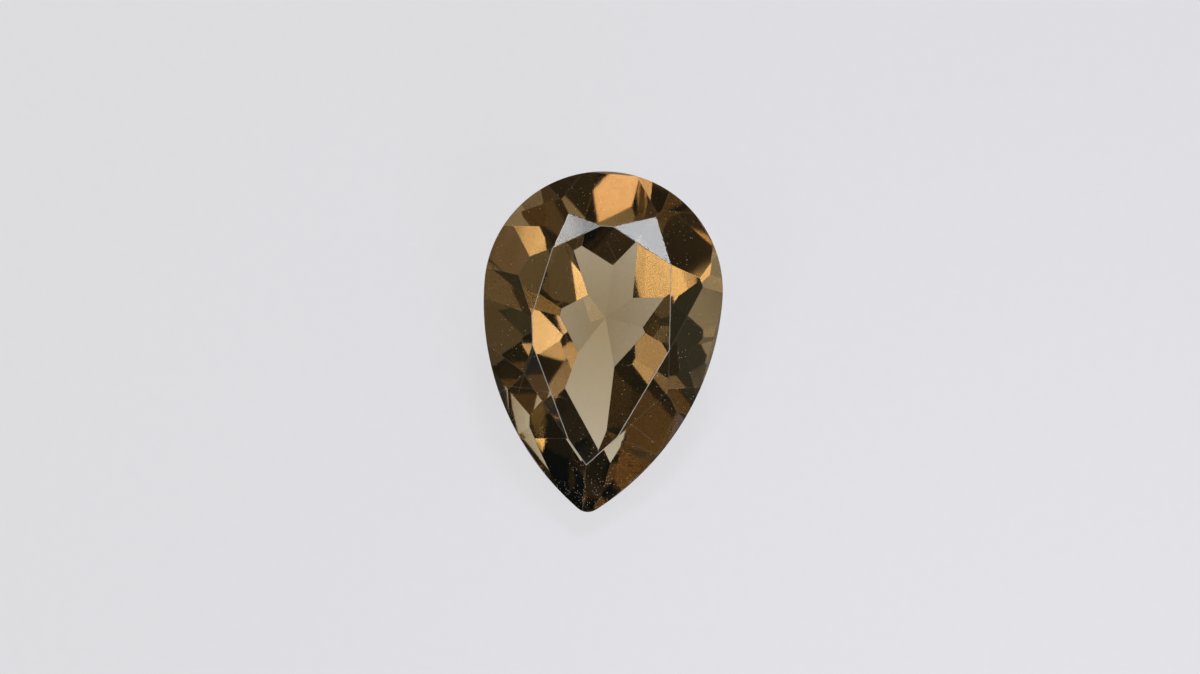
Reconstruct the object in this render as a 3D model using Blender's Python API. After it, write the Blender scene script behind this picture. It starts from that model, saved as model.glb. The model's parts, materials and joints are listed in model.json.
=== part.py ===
"""Smoky quartz gemstone, pear brilliant cut: one loose stone lying crown up on its keel facet.

The stone is cut the way a lapidary cuts it. A pear-shaped blank is extruded, then every flat facet is one
plane that takes a slice off the blank. Each facet is named by its azimuth round the stone, its angle from
the girdle plane, and the point it is cut down to. All lengths are in millimetres until the last step.

Cutting frame: +X right, +Y towards the round head, +Z out of the table, origin at the centre of the head
arc on the mid plane of the girdle.
"""
import math

import bmesh
import bpy
from mathutils import Matrix, Vector

MM = 0.001

# Outline of the girdle
WIDTH = 7.0
LENGTH = 10.0
TIP_RADIUS = 0.45
HEAD_STEPS = 60
SIDE_STEPS = 30
TIP_STEPS = 10

# Heights above and below the mid plane of the girdle
GIRDLE_HALF = 0.12
TABLE_HEIGHT = 0.95
CULET_DEPTH = 3.48
CULET = Vector((0.12, -0.77, -CULET_DEPTH))

# The stone lies on this pavilion facet, which points straight at the tip
KEEL_AZIMUTH = 270.0
KEEL_ANGLE = 25.25

# Blank, before any facet is cut
BLANK_TOP = 1.4
BLANK_BOTTOM = -4.0

# Pavilion mains: azimuth and angle in degrees, all cut down to the culet
PAVILION_MAINS = [
    (97.0, 31.75),
    (178.5, 36.25),
    (KEEL_AZIMUTH, KEEL_ANGLE),
    (334.5, 35.5),
    (16.0, 37.75),
    (53.0, 36.0),
]

# Pavilion breaks: steeper facets, cut until they just reach the lower edge of the girdle
PAVILION_BREAKS = [
    (85.5, 41.75),
    (162.5, 43.25),
    (189.5, 47.0),
    (240.0, 41.0),
    (330.5, 46.25),
    (358.5, 49.0),
    (39.0, 42.5),
]

# Lower girdle facets: the last, steepest row of the pavilion, also cut to the lower edge of the girdle
LOWER_GIRDLE = [
    (56.25, 45.25),
    (108.25, 44.75),
    (141.75, 47.75),
    (176.0, 45.5),
    (204.25, 56.0),
    (223.0, 55.5),
    (264.0, 48.0),
    (296.0, 50.0),
    (318.0, 48.0),
    (345.0, 51.0),
    (21.0, 51.25),
]

# Star facets: azimuth, angle and a point of the table edge that the facet starts from
STARS = [
    (61.0, 12.5, (0.14, 1.89)),
    (119.0, 12.5, (-0.25, 1.87)),
    (3.0, 20.5, (1.92, 0.90)),
    (167.0, 16.5, (-1.57, 1.14)),
    (205.0, 18.0, (-1.94, -1.74)),
    (333.5, 18.0, (2.05, -1.59)),
]

# Bezel facets: azimuth, angle and the table corner or edge that the facet starts from
BEZELS = [
    (90.0, 28.25, (0.0, 1.885)),
    (35.0, 31.25, (1.92, 0.90)),
    (350.0, 35.25, (2.05, -1.59)),
    (325.0, 32.25, (0.72, -4.25)),
    (316.0, 33.75, (-0.12, -5.12)),
    (219.0, 35.75, (-0.12, -5.12)),
    (212.0, 33.75, (-0.68, -4.44)),
    (186.0, 31.0, (-1.99, -1.29)),
    (143.0, 26.5, (-1.57, 1.14)),
]

# Upper girdle facets: azimuth and angle, cut to the upper edge of the girdle
UPPER_GIRDLE = [
    (74.0, 34.25),
    (48.0, 36.75),
    (14.0, 38.0),
    (352.0, 37.75),
    (341.0, 37.0),
    (328.0, 38.0),
    (209.0, 37.0),
    (198.0, 36.5),
    (184.0, 33.25),
    (160.0, 30.5),
    (133.0, 36.0),
    (112.0, 38.5),
]

# Points closer together than this are the same corner
WELD = 0.0025


def pear_outline():
    """Corner points of the girdle outline: head arc, left side, tip, right side, in order."""
    head = WIDTH / 2.0
    drop = LENGTH - head - TIP_RADIUS
    side = (drop * drop + head * head - TIP_RADIUS * TIP_RADIUS) / (2.0 * (head - TIP_RADIUS))
    centre = side - head
    turn = math.atan2(drop, centre)
    points = []
    for i in range(HEAD_STEPS):
        a = math.pi * i / HEAD_STEPS
        points.append((head * math.cos(a), head * math.sin(a)))
    for i in range(SIDE_STEPS):
        a = turn * i / SIDE_STEPS
        points.append((centre - side * math.cos(a), -side * math.sin(a)))
    for i in range(TIP_STEPS):
        a = turn + (math.pi - 2.0 * turn) * i / TIP_STEPS
        points.append((-TIP_RADIUS * math.cos(a), -drop - TIP_RADIUS * math.sin(a)))
    for i in range(SIDE_STEPS):
        a = turn * (1.0 - i / SIDE_STEPS)
        points.append((side * math.cos(a) - centre, -side * math.sin(a)))
    return points


def facet_normal(azimuth, angle, up):
    """Outward normal of a facet tilted by angle from the table plane, above (up = 1) or below (up = -1)."""
    a = math.radians(azimuth)
    t = math.radians(angle)
    return Vector((math.cos(a) * math.sin(t), math.sin(a) * math.sin(t), up * math.cos(t)))


def girdle_point(outline, azimuth, z):
    """The point of the outline that lies furthest out in the direction of azimuth, at height z."""
    a = math.radians(azimuth)
    x, y = max(outline, key=lambda q: q[0] * math.cos(a) + q[1] * math.sin(a))
    return Vector((x, y, z))


def make_blank(outline):
    """The uncut blank: the outline extruded upwards."""
    bm = bmesh.new()
    ring = [bm.verts.new((x, y, BLANK_BOTTOM)) for x, y in outline]
    base = bm.faces.new(ring)
    lifted = bmesh.ops.extrude_face_region(bm, geom=[base])
    top = [v for v in lifted["geom"] if isinstance(v, bmesh.types.BMVert)]
    bmesh.ops.translate(bm, verts=top, vec=(0.0, 0.0, BLANK_TOP - BLANK_BOTTOM))
    bmesh.ops.recalc_face_normals(bm, faces=bm.faces)
    return bm


def cut_facet(bm, point, normal):
    """Takes off everything beyond the plane and closes the cut with one flat face."""
    everything = bm.verts[:] + bm.edges[:] + bm.faces[:]
    cut = bmesh.ops.bisect_plane(bm, geom=everything, dist=WELD * 0.1, plane_co=point, plane_no=normal,
                                 clear_outer=True, clear_inner=False)
    rim = [e for e in cut["geom_cut"] if isinstance(e, bmesh.types.BMEdge)]
    if len(rim) >= 3:
        bmesh.ops.contextual_create(bm, geom=rim)


def cut_stone():
    """Cuts every facet of the pavilion and the crown out of the blank."""
    outline = pear_outline()
    bm = make_blank(outline)
    for azimuth, angle in PAVILION_MAINS:
        cut_facet(bm, CULET, facet_normal(azimuth, angle, -1))
    for azimuth, angle in PAVILION_BREAKS + LOWER_GIRDLE:
        cut_facet(bm, girdle_point(outline, azimuth, -GIRDLE_HALF), facet_normal(azimuth, angle, -1))
    cut_facet(bm, Vector((0.0, 0.0, TABLE_HEIGHT)), Vector((0.0, 0.0, 1.0)))
    for azimuth, angle, (x, y) in BEZELS + STARS:
        cut_facet(bm, Vector((x, y, TABLE_HEIGHT)), facet_normal(azimuth, angle, 1))
    for azimuth, angle in UPPER_GIRDLE:
        cut_facet(bm, girdle_point(outline, azimuth, GIRDLE_HALF), facet_normal(azimuth, angle, 1))
    bmesh.ops.remove_doubles(bm, verts=bm.verts, dist=WELD)
    bmesh.ops.dissolve_degenerate(bm, dist=WELD, edges=bm.edges)
    bmesh.ops.recalc_face_normals(bm, faces=bm.faces)
    return bm


def lay_down(bm):
    """Turns the stone onto its keel facet, then puts the middle of its footprint box on the origin."""
    bmesh.ops.rotate(bm, verts=bm.verts, cent=(0.0, 0.0, 0.0), matrix=Matrix.Rotation(math.radians(KEEL_ANGLE), 3, "X"))
    low = [min(v.co[i] for v in bm.verts) for i in range(3)]
    high = [max(v.co[i] for v in bm.verts) for i in range(3)]
    shift = Vector((-(low[0] + high[0]) / 2.0, -(low[1] + high[1]) / 2.0, -low[2]))
    bmesh.ops.translate(bm, verts=bm.verts, vec=shift)
    bmesh.ops.scale(bm, verts=bm.verts, vec=(MM, MM, MM))


def quartz_material():
    """Clear brown quartz: light goes straight through, bent by the stone's refractive index."""
    material = bpy.data.materials.new("smoky_quartz")
    material.use_nodes = True
    shader = material.node_tree.nodes["Principled BSDF"]
    shader.inputs["Base Color"].default_value = (0.42, 0.26, 0.13, 1.0)
    shader.inputs["Roughness"].default_value = 0.02
    shader.inputs["IOR"].default_value = 1.547
    shader.inputs["Transmission Weight"].default_value = 1.0
    return material


for old in list(bpy.data.objects):
    bpy.data.objects.remove(old, do_unlink=True)

stone = cut_stone()
lay_down(stone)
mesh = bpy.data.meshes.new("gemstone")
stone.to_mesh(mesh)
stone.free()
mesh.materials.append(quartz_material())
for face in mesh.polygons:
    face.use_smooth = False
gem = bpy.data.objects.new("gemstone", mesh)
bpy.context.scene.collection.objects.link(gem)
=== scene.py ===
import json
import math

import bmesh
import bpy
from mathutils import Matrix, Vector


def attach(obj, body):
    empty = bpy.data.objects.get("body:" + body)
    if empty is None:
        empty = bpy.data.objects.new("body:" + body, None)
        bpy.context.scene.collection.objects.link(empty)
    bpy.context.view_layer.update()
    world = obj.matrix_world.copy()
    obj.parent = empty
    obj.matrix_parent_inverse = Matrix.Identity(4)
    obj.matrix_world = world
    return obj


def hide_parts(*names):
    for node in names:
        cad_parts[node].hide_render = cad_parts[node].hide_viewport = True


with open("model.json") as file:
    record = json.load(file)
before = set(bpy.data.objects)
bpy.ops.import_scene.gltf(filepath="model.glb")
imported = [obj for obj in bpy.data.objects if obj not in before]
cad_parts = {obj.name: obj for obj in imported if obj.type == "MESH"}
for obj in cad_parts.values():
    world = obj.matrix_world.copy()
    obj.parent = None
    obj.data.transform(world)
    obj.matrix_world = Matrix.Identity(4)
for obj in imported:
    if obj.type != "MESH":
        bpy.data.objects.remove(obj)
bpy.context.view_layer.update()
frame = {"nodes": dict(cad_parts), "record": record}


# Gemstone: a loose pear cut of clear brown quartz, 10 by 7 mm, cut from one crystal.
# Its facets are lapped flat and polished. Their junctions have a hair of wear, and the girdle,
# the thin band round the outline, is left as the grinding wheel made it.
MM = 0.001
# corners of the solid that lie closer than this, in metres, are one corner
SAME_POINT = 1e-7
# triangles within the first angle are one facet, and a junction below the second isn't worn
FLAT_ANGLE = math.radians(0.4)
JUNCTION_ANGLE = math.radians(4.0)
# cosine of a facet's angle from the table: a crown facet has more than the first, and only the
# table itself has more than the second
SIDEWAYS = 0.05
FACES_UP = 0.999
# how far off a cut a corner may lie and still be on it, and how close two corners may end up, in mm
CUT_REACH = 1e-5
STRIP_WELD = 2e-4
WEAR = {
    # width of the worn strip in mm, and how frosted it is
    "table": {"width": 0.024, "frost": 1.0},
    "crown": {"width": 0.014, "frost": 0.2},
    "pavilion": {"width": 0.006, "frost": 0.0},
}
# half the thickness of the girdle, and the height of the table above its middle
GIRDLE_HALF = 0.12 * MM
TABLE_OVER_GIRDLE = 0.95 * MM
QUARTZ_IOR = 1.547
ABSORPTION_COLOUR = (0.57, 0.42, 0.1, 1.0)
ABSORPTION_DENSITY = 425.0
# roughness of a polished facet and how much it varies, then what grinding and wear add to it
POLISHED = 0.03
POLISH_VARIES = 0.03
GROUND = 0.42
GRIT_VARIES = 0.15
WORN = 0.25
# fineness of each pattern, in cycles per metre
POLISH_FINENESS = 700.0
GRIT_FINENESS = 30000.0
DUST_FINENESS = 350.0
BREAK_FINENESS = 900.0
LINE_FINENESS = (12000.0, 900.0, 2500.0)
LINE_TURN = math.radians(35.0)
# height of each relief, in metres
WAVINESS = 3e-6
POLISH_LINES = 3e-8
GRIT_DEPTH = 1e-6
# dust: spacing of its places, size of a speck as a share of that, and where it thickens to the tip
SPECK_SPACING = 0.055 * MM
SPECK_SIZE = 0.19
DUSTY_TIP = (-3.35 * MM, -4.15 * MM)
# chance that a place holds a speck: what the tip adds, and the most that the noise gives elsewhere
TIP_DUST = 0.45
LOOSE_DUST = 0.32
# how much each kind of mark hides the glass under it
WORN_FROST = 0.45
SPECK_FROST = 0.75
SCRATCH_FROST = 0.22
POWDER_COLOUR = (0.88, 0.8, 0.64, 1.0)
POWDER_ROUGHNESS = 0.5
# a scratch shows only where its noise is above this
SCRATCH_SHOWS = 0.5
SCRATCHES = [
    # direction of the normal in degrees, distance from the middle and half width in mm
    (52.0, 0.35, 0.003),
    (118.0, -0.9, 0.003),
    (35.0, 1.3, 0.002),
    (160.0, 1.55, 0.003),
    (75.0, -2.1, 0.003),
]


class Reading:
    """A value or a colour in a material. Arithmetic on it adds the nodes that work it out."""

    def __init__(self, tree, socket=None):
        self.tree = tree
        self.socket = socket

    def node(self, kind, settings=None, sockets=None, out=0):
        """Adds one node, its settings first and then its sockets, and returns one output."""
        made = self.tree.nodes.new(kind)
        for name, value in (settings or {}).items():
            setattr(made, name, value)
        for name, value in (sockets or {}).items():
            if isinstance(value, Reading):
                self.tree.links.new(value.socket, made.inputs[name])
            else:
                made.inputs[name].default_value = value
        return Reading(self.tree, made.outputs[out]) if made.outputs else None

    def sum_of(self, operation, *terms):
        return self.node("ShaderNodeMath", {"operation": operation}, dict(enumerate(terms)))

    def __add__(self, other):
        return self.sum_of("ADD", self, other)

    def __sub__(self, other):
        return self.sum_of("SUBTRACT", self, other)

    def __rsub__(self, other):
        return self.sum_of("SUBTRACT", other, self)

    def __mul__(self, other):
        return self.sum_of("MULTIPLY", self, other)

    def __abs__(self):
        return self.sum_of("ABSOLUTE", self)

    def __gt__(self, other):
        return self.sum_of("GREATER_THAN", self, other)

    def __lt__(self, other):
        return self.sum_of("LESS_THAN", self, other)

    __radd__ = __add__
    __rmul__ = __mul__


def solid_of(node):
    """The node's solid in millimetres, with its loose triangles joined into whole flat facets."""
    bm = bmesh.new()
    bm.from_mesh(frame["nodes"][node].data)
    bmesh.ops.remove_doubles(bm, verts=bm.verts, dist=SAME_POINT)
    bmesh.ops.scale(bm, verts=bm.verts, vec=(1.0 / MM, 1.0 / MM, 1.0 / MM))
    bmesh.ops.dissolve_limit(bm, angle_limit=FLAT_ANGLE, verts=bm.verts, edges=bm.edges)
    return bm


def wear_junctions(bm, table_axis):
    """Takes a hair of material off each junction of two facets, most round the table."""
    mark = bm.faces.layers.float.new("worn")
    cuts = []
    for edge in bm.edges:
        first, second = (face.normal.copy() for face in edge.link_faces)
        angle = first.angle(second)
        if angle < JUNCTION_ANGLE:
            continue
        facing = sorted((first.dot(table_axis), second.dot(table_axis)))
        if facing[0] < SIDEWAYS:
            wear = WEAR["pavilion"]
        elif facing[1] > FACES_UP:
            wear = WEAR["table"]
        else:
            wear = WEAR["crown"]
        middle = (first + second).normalized()
        depth = wear["width"] / 2.0 * math.tan(angle / 2.0)
        cuts.append((edge.verts[0].co - middle * depth, middle, wear["frost"]))
    for point, normal, frost in cuts:
        everything = bm.verts[:] + bm.edges[:] + bm.faces[:]
        cut = bmesh.ops.bisect_plane(bm, geom=everything, dist=CUT_REACH, plane_co=point,
                                     plane_no=normal, clear_outer=True)
        rim = [e for e in cut["geom_cut"] if isinstance(e, bmesh.types.BMEdge)]
        if len(rim) >= 3:
            for strip in bmesh.ops.contextual_create(bm, geom=rim)["faces"]:
                strip[mark] = frost
    bmesh.ops.remove_doubles(bm, verts=bm.verts, dist=STRIP_WELD)
    bmesh.ops.dissolve_degenerate(bm, dist=STRIP_WELD, edges=bm.edges)


mounts = {m["name"]: m for m in frame["record"]["mounts"]}
table_axis = Vector(mounts["table_facet"]["axis"]).normalized()
girdle_height = Vector(mounts["table_facet"]["pos_m"]).dot(table_axis) - TABLE_OVER_GIRDLE
stone = solid_of("gemstone")
wear_junctions(stone, table_axis)
bmesh.ops.recalc_face_normals(stone, faces=stone.faces)
bmesh.ops.scale(stone, verts=stone.verts, vec=(MM, MM, MM))
mesh = bpy.data.meshes.new("cut_gemstone")
stone.to_mesh(mesh)
stone.free()
gem = bpy.data.objects.new("cut_gemstone", mesh)
bpy.context.scene.collection.objects.link(gem)

quartz = bpy.data.materials.new("smoky_quartz_polished")
quartz.use_nodes = True
quartz.node_tree.nodes.clear()
face = Reading(quartz.node_tree)
place = face.node("ShaderNodeTexCoord", out=3)
height = face.node("ShaderNodeVectorMath", {"operation": "DOT_PRODUCT"},
                   {0: place, 1: tuple(table_axis)}, out=1)
ground = abs(height - girdle_height) < GIRDLE_HALF
worn = face.node("ShaderNodeAttribute", {"attribute_name": "worn"}, out=2)
polish = face.node("ShaderNodeTexNoise", sockets={
    "Vector": place,
    "Scale": POLISH_FINENESS,
    "Detail": 1.0,
})
grit = face.node("ShaderNodeTexNoise", sockets={
    "Vector": place,
    "Scale": GRIT_FINENESS,
    "Detail": 2.0,
})
tilted = face.node("ShaderNodeMapping", sockets={
    "Vector": place,
    "Rotation": (0.0, 0.0, LINE_TURN),
    "Scale": LINE_FINENESS,
})
lines = face.node("ShaderNodeTexNoise", sockets={"Vector": tilted, "Scale": 1.0, "Detail": 2.0})
roughness = POLISHED + POLISH_VARIES * polish + ground * (GROUND + GRIT_VARIES * grit) + worn * WORN
relief = polish * WAVINESS + lines * POLISH_LINES + ground * grit * GRIT_DEPTH
bump = face.node("ShaderNodeBump", sockets={"Strength": 1.0, "Distance": 1.0, "Height": relief})

speck_grid = {"Vector": place, "Scale": 1.0 / SPECK_SPACING}
speck_reach = face.node("ShaderNodeTexVoronoi", sockets=speck_grid)
speck_pick = face.node("ShaderNodeTexVoronoi", sockets=speck_grid, out=1)
speck_chance = face.node("ShaderNodeSeparateColor", sockets={0: speck_pick})
dusty = face.node("ShaderNodeTexNoise", sockets={
    "Vector": place,
    "Scale": DUST_FINENESS,
    "Detail": 1.0,
})
along = face.node("ShaderNodeSeparateXYZ", sockets={0: place}, out=1)
at_tip = face.node("ShaderNodeMapRange", {"interpolation_type": "SMOOTHSTEP"}, {
    "Value": along,
    "From Min": DUSTY_TIP[1],
    "From Max": DUSTY_TIP[0],
    "To Min": TIP_DUST,
    "To Max": 0.0,
})
specks = (speck_reach < SPECK_SIZE) * (speck_chance < dusty * dusty * dusty * LOOSE_DUST + at_tip)
scratches = 0.0
for azimuth, across, width in SCRATCHES:
    a = math.radians(azimuth)
    offset = face.node("ShaderNodeVectorMath", {"operation": "DOT_PRODUCT"},
                       {0: place, 1: (math.cos(a), math.sin(a), 0.0)}, out=1)
    scratches = (abs(offset - across * MM) < width * MM) + scratches
broken = face.node("ShaderNodeTexNoise", sockets={
    "Vector": place,
    "Scale": BREAK_FINENESS,
    "Detail": 2.0,
}) > SCRATCH_SHOWS
frost = worn * WORN_FROST + specks * SPECK_FROST + scratches * broken * SCRATCH_FROST

glass = face.node("ShaderNodeBsdfPrincipled", sockets={
    "Base Color": (1.0, 1.0, 1.0, 1.0),
    "Roughness": roughness,
    "IOR": QUARTZ_IOR,
    "Transmission Weight": 1.0,
    "Normal": bump,
})
powder = face.node("ShaderNodeBsdfPrincipled", sockets={
    "Base Color": POWDER_COLOUR,
    "Roughness": POWDER_ROUGHNESS,
    "IOR": QUARTZ_IOR,
})
surface = face.node("ShaderNodeMixShader", sockets={0: frost, 1: glass, 2: powder})
smoke = face.node("ShaderNodeVolumeAbsorption", sockets={
    "Color": ABSORPTION_COLOUR,
    "Density": ABSORPTION_DENSITY,
})
face.node("ShaderNodeOutputMaterial", sockets={"Surface": surface, "Volume": smoke})
mesh.materials.append(quartz)
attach(gem, "root")
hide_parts("gemstone")


# Floor: a plain pale sheet of coated paper. Its glow is painted light, a pool of light that no lamp
# casts:
# it glows evenly where the stone lies, as a light pad under it would make it, and fades softly further
# out.
FLOOR_HALF = 1.5
FLOOR_GLOW = 0.67
GLOW_COLOUR = (0.995, 0.99, 1.01)
# share of the painted glow that is left where the painted pool of light has faded
PAINTED_POOL_DIM = 0.45
PAINTED_POOL = [
    # the painted pool of light, across and then along the stone, in mm: its middle, the half size that
    # is fully lit, and the half size at which it has faded
    (0.0, 19.0, 34.0),
    (1.2, 13.0, 26.0),
]
PAPER_COLOUR = (0.15, 0.15, 0.155, 1.0)
PAPER_ROUGHNESS = 0.7
FIBRE_FINENESS = 2500.0
FIBRE_DARKEST = 0.985
FIBRE_RANGE = 0.03
GLOSS = 0.8
GLOSS_ROUGHNESS = 0.25
bpy.ops.mesh.primitive_plane_add(size=2.0 * FLOOR_HALF)
floor = bpy.context.object
floor.name = "pale_floor"
sheet = bpy.data.materials.new("pale_sheet")
sheet.use_nodes = True
sheet.node_tree.nodes.clear()
top = Reading(sheet.node_tree)
place = top.node("ShaderNodeTexCoord", out=3)
# the painted pool of light: the floor's glow, brightest round the stone and fading outwards
painted_pool = 1.0
for side, (middle, lit, faded) in enumerate(PAINTED_POOL):
    offset = top.node("ShaderNodeSeparateXYZ", sockets={0: place}, out=side)
    fade = top.node("ShaderNodeMapRange", {"interpolation_type": "SMOOTHSTEP"}, {
        "Value": abs(offset - middle * MM),
        "From Min": lit * MM,
        "From Max": faded * MM,
        "To Min": 1.0,
        "To Max": PAINTED_POOL_DIM,
    })
    painted_pool = fade * painted_pool
fibre = top.node("ShaderNodeTexNoise", sockets={
    "Vector": place,
    "Scale": FIBRE_FINENESS,
    "Detail": 3.0,
})
# the painted glow of the floor: the painted pool of light times the paper's grain
shine = top.node("ShaderNodeVectorMath", {"operation": "SCALE"}, {
    0: GLOW_COLOUR,
    3: painted_pool * (FIBRE_DARKEST + FIBRE_RANGE * fibre),
})
paper = top.node("ShaderNodeBsdfPrincipled", sockets={
    "Base Color": PAPER_COLOUR,
    "Roughness": PAPER_ROUGHNESS,
    "Emission Color": shine,
    "Emission Strength": FLOOR_GLOW,
    "Specular IOR Level": 0.0,
    "Coat Weight": GLOSS,
    "Coat Roughness": GLOSS_ROUGHNESS,
})
top.node("ShaderNodeOutputMaterial", sockets={"Surface": paper})
floor.data.materials.append(sheet)


# Studio light: small soft boxes round the stone, each fading to its edges as lit cloth does. Their
# values aren't a light plan. A ray tracer outside this file gave the directions and the brightness
# of some, and the rest were set by comparing the colours of renders.
LIGHT_DISTANCE = 0.45
POWER_PER_AREA = 4.0
SOFT_BOXES = [
    # name, then azimuth, elevation, width and height in degrees, brightness and colour
    ("right", 2.0, 35.0, 16.0, 14.0, 3.0, (1.0, 0.83, 0.7)),
    ("right_low", 0.0, 9.0, 50.0, 20.0, 0.16, (1.0, 0.7, 0.5)),
    ("front_right_spot", 314.6, 14.0, 7.0, 7.0, 3.4, (1.0, 0.8, 0.6)),
    ("front_right_low", 327.0, 7.0, 12.0, 9.0, 0.3, (1.0, 0.75, 0.6)),
    ("front_right", 290.5, 24.5, 26.0, 13.0, 6.5, (0.8, 0.82, 1.0)),
    ("front_high", 301.5, 49.5, 19.0, 17.0, 8.1, (0.68, 0.68, 1.0)),
    ("front_right_high", 322.0, 45.0, 10.0, 10.0, 7.0, (0.9, 0.95, 1.0)),
    ("left_high", 231.0, 54.0, 18.0, 14.0, 5.5, (1.0, 0.9, 0.8)),
    ("left", 219.0, 48.0, 10.0, 10.0, 7.0, (0.9, 0.95, 1.0)),
    ("overhead", 301.0, 82.0, 12.0, 12.0, 2.2, (0.8, 0.8, 1.0)),
    ("back_high", 74.0, 69.0, 16.0, 16.0, 3.8, (0.75, 0.77, 1.0)),
    ("back_right", 39.0, 60.0, 14.0, 16.0, 3.2, (0.8, 0.8, 1.0)),
    ("back", 65.0, 34.0, 12.0, 10.0, 2.8, (0.65, 0.7, 1.0)),
    ("back_low", 71.0, 3.0, 9.0, 5.0, 5.0, (1.0, 0.85, 0.8)),
    ("front", 255.0, 32.0, 50.0, 36.0, 0.6, (0.75, 0.8, 1.0)),
    ("head_star_right", 349.0, 77.7, 8.0, 8.0, 8.5, (0.93, 0.96, 1.0)),
    ("head_star_left", 187.5, 74.3, 4.4, 8.6, 19.0, (0.93, 0.96, 1.0)),
]
# the surroundings between the boxes, as the stone sees them, and the backdrop that shows past the floor
AIR_COLOUR = (0.85, 1.0, 0.9, 1.0)
AIR_GLOW = 0.075
BACKDROP_COLOUR = (1.0, 1.0, 1.0, 1.0)
BACKDROP_GLOW = 0.7


def soft_box(name, azimuth, elevation, wide, high, brightness, colour):
    """A light that covers wide by high degrees of the stone's surroundings and fades to its edges."""
    light = bpy.data.lights.new(name, "AREA")
    light.shape = "RECTANGLE"
    light.size = 2.0 * LIGHT_DISTANCE * math.tan(math.radians(wide / 2.0))
    light.size_y = 2.0 * LIGHT_DISTANCE * math.tan(math.radians(high / 2.0))
    # the power grows with the area, so that a box is as bright as its brightness says at any size
    light.energy = POWER_PER_AREA * brightness * light.size * light.size_y
    light.color = colour
    light.use_nodes = True
    light.node_tree.nodes.clear()
    cloth = Reading(light.node_tree)
    spread = cloth.node("ShaderNodeNewGeometry", out=5)
    sideways = cloth.node("ShaderNodeSeparateXYZ", sockets={0: spread})
    upwards = cloth.node("ShaderNodeSeparateXYZ", sockets={0: spread}, out=1)
    # times 16, the product is 1 in the middle of the box and 0 at its edges
    fade = sideways * (1.0 - sideways) * upwards * (1.0 - upwards) * 16.0
    glow = cloth.node("ShaderNodeEmission", sockets={"Strength": fade})
    cloth.node("ShaderNodeOutputLight", sockets={0: glow})
    lamp = bpy.data.objects.new(name, light)
    a = math.radians(azimuth)
    e = math.radians(elevation)
    out = Vector((math.cos(a) * math.cos(e), math.sin(a) * math.cos(e), math.sin(e)))
    across = Vector((-math.sin(a), math.cos(a), 0.0))
    turn = Matrix((across, out.cross(across), out)).transposed().to_4x4()
    lamp.matrix_world = Matrix.Translation(out * LIGHT_DISTANCE) @ turn
    bpy.context.scene.collection.objects.link(lamp)


for box in SOFT_BOXES:
    soft_box(*box)

world = bpy.data.worlds.new("studio")
bpy.context.scene.world = world
world.use_nodes = True
world.node_tree.nodes.clear()
air = Reading(world.node_tree)
seen = air.node("ShaderNodeLightPath")
dim = air.node("ShaderNodeBackground", sockets={"Color": AIR_COLOUR, "Strength": AIR_GLOW})
pale = air.node("ShaderNodeBackground", sockets={"Color": BACKDROP_COLOUR, "Strength": BACKDROP_GLOW})
backdrop = air.node("ShaderNodeMixShader", sockets={0: seen, 1: dim, 2: pale})
air.node("ShaderNodeOutputWorld", sockets={"Surface": backdrop})


# Camera: it looks straight at the table facet, from far enough off that perspective hardly shows.
# The picture is turned a little, so that the head of the stone leans to the right.
CAMERA_DISTANCE = 0.25
PICTURE_WIDTH = 35.19 * MM
LEAN = math.radians(4.33)
PICTURE_ASIDE = 0.012 * MM
PICTURE_ABOVE = 0.141 * MM
SENSOR_WIDTH = 36.0
NEAREST = 0.01
FURTHEST = 20.0
headward = table_axis.cross(Vector((1.0, 0.0, 0.0)))
reach = [v.co.dot(headward) for v in frame["nodes"]["gemstone"].data.vertices]
centre = headward * (min(reach) + max(reach)) / 2.0 + table_axis * girdle_height
right = Vector((math.cos(LEAN), 0.0, 0.0)) + headward * math.sin(LEAN)
up = headward * math.cos(LEAN) - Vector((math.sin(LEAN), 0.0, 0.0))
spot = centre + right * PICTURE_ASIDE + up * PICTURE_ABOVE + table_axis * CAMERA_DISTANCE
lens = bpy.data.cameras.new("camera")
lens.sensor_width = SENSOR_WIDTH
lens.lens = SENSOR_WIDTH * CAMERA_DISTANCE / PICTURE_WIDTH
lens.clip_start = NEAREST
lens.clip_end = FURTHEST
camera = bpy.data.objects.new("camera", lens)
turn = Matrix((right, up, table_axis)).transposed()
camera.matrix_world = Matrix.Translation(spot) @ turn.to_4x4()
bpy.context.scene.collection.objects.link(camera)
bpy.context.scene.camera = camera
bpy.context.scene.view_settings.view_transform = "Standard"
